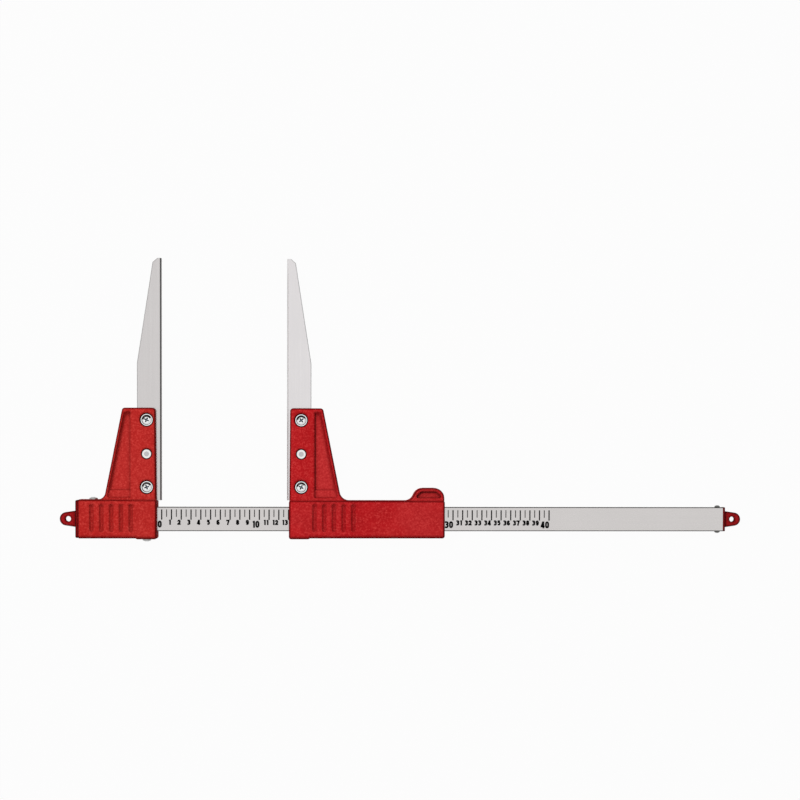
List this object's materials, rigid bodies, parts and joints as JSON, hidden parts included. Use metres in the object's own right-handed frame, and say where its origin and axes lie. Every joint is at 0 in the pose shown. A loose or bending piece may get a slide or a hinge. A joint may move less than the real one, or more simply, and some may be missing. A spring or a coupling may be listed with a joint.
{
  "type": "log caliper",
  "caption": "Log caliper: hollow scaled beam, a fixed jaw blade, a sliding jaw blade in a sleeve with a thumb hook, and a lanyard eye at each end.",
  "frame": {"origin": "middle of the part's box in plan, on the plane of the sleeve boxes' backs", "axes": "+X along the beam from the fixed jaw to the free end, +Y along the blades, +Z out of the face with the scale"},
  "size_m": [0.706, 0.2908, 0.024],
  "materials": {
    "beam_aluminium": "satin anodised, with a printed scale",
    "blade_aluminium": "brushed along its length",
    "dowel_aluminium": "turned",
    "red_moulding": "fine moulded grain",
    "red_plug": "fine moulded grain",
    "zinc_steel": "bright zinc plated",
    "white_acetal": "smooth"
  },
  "bodies": {
    "frame": {"beam": "beam_aluminium", "fixed_housing": "red_moulding", "fixed_blade": "blade_aluminium", "fixed_blade_screws": "zinc_steel", "fixed_blade_nuts": "zinc_steel", "fixed_blade_dowel": "dowel_aluminium", "fixed_end_plug": "red_plug", "fixed_plug_screw": "zinc_steel", "fixed_clamp_screw": "zinc_steel", "fixed_anchor_block": "zinc_steel", "free_end_plug": "red_plug", "free_end_rivets": "zinc_steel"},
    "slider": {"slider_housing": "red_moulding", "sliding_blade": "blade_aluminium", "sliding_blade_screws": "zinc_steel", "sliding_blade_nuts": "zinc_steel", "sliding_blade_dowel": "dowel_aluminium", "upper_glide_left": "white_acetal", "upper_glide_right": "white_acetal", "lower_glide_right": "white_acetal", "front_glide_strip": "white_acetal", "back_glide_strip": "white_acetal"},
    "shoe": {"adjusting_shoe": "white_acetal"},
    "adjuster": {"adjusting_screw": "zinc_steel"}
  },
  "joints": [
    {"name": "slider_slide", "type": "slide", "parent": "frame", "child": "slider", "axis": [1, 0, 0], "range_m": [-0.1284, 0.2836]},
    {"name": "shoe_slide", "type": "slide", "parent": "slider", "child": "shoe", "axis": [0, 1, 0], "range_m": [-0.00065, 0.00008]},
    {"name": "adjuster_turn", "type": "hinge", "parent": "shoe", "child": "adjuster", "pos_m": [-0.10725, -0.14, 0.012], "axis": [0, 1, 0], "range_deg": [-240, 34]}
  ],
  "couplings": [
    {"joint": "adjuster_turn", "follows": "shoe_slide", "rad_per_m": 6283.2}
  ]
}
